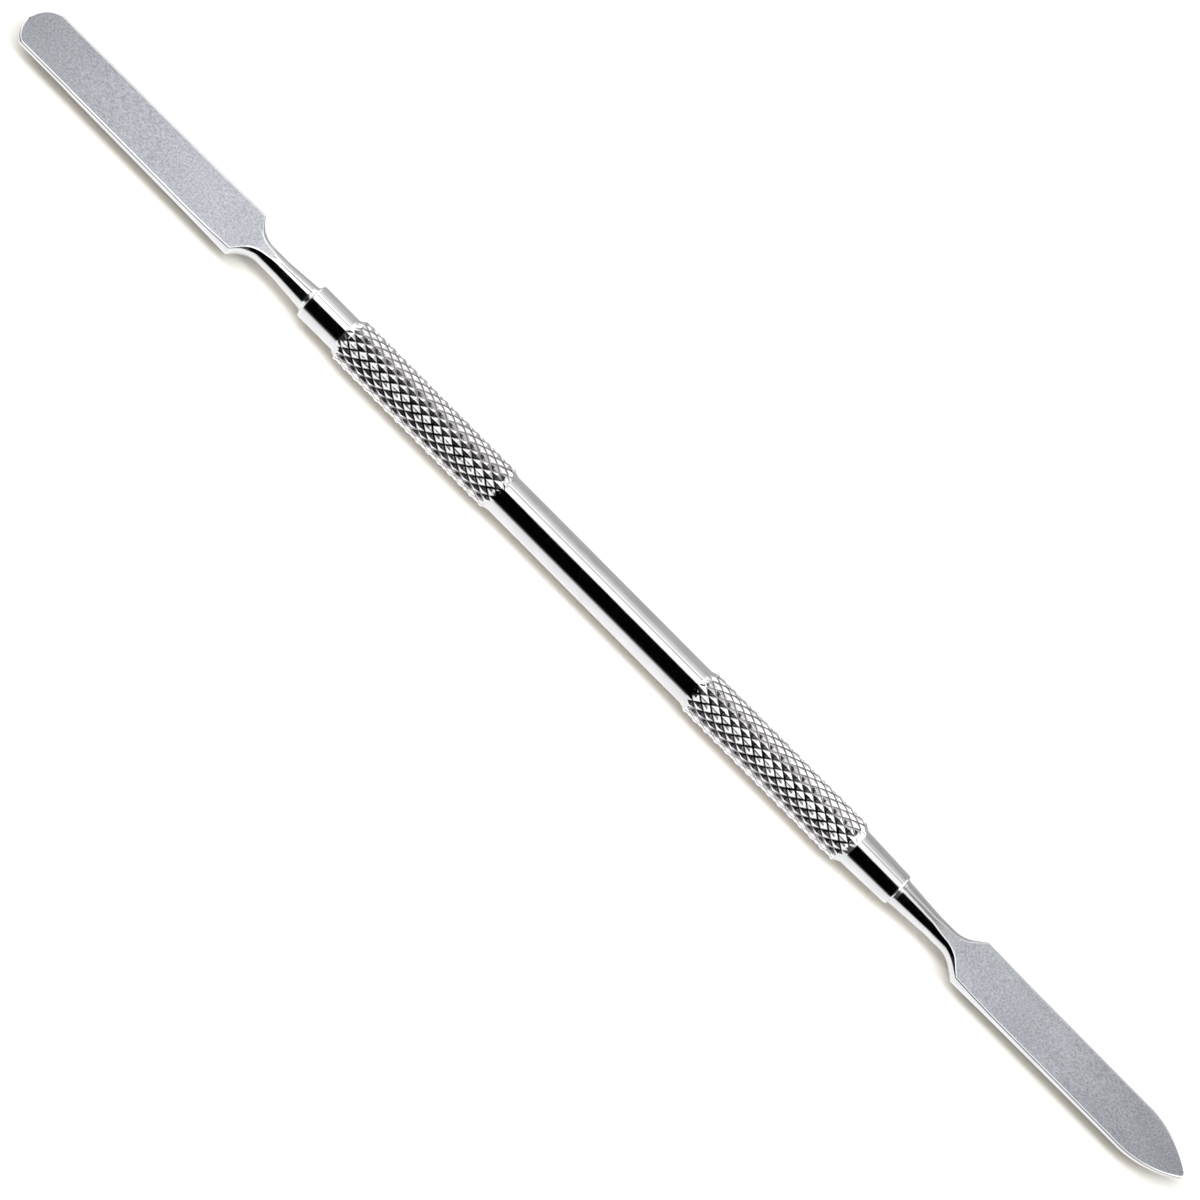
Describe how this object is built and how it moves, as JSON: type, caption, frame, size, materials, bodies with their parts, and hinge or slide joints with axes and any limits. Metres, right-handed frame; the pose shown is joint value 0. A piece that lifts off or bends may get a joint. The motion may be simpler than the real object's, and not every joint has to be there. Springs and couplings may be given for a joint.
{
  "type": "spudger tool",
  "caption": "Slim all-metal prying tool: a round knurled handle with a flat rounded blade at one end and a flat pointed blade at the other.",
  "frame": {"origin": "on the handle's axis, at the middle of the tool's overall length", "axes": "+X along the tool towards the pointed blade, +Z out of the blades' upper faces"},
  "size_m": [0.18, 0.0064, 0.0056],
  "materials": {
    "polished_steel": "polished stainless steel, with rolled diamond knurls",
    "ground_steel": "fine satin-ground stainless steel"
  },
  "bodies": {
    "root": {"handle": "polished_steel", "rounded_blade": "ground_steel", "pointed_blade": "ground_steel"}
  },
  "joints": []
}
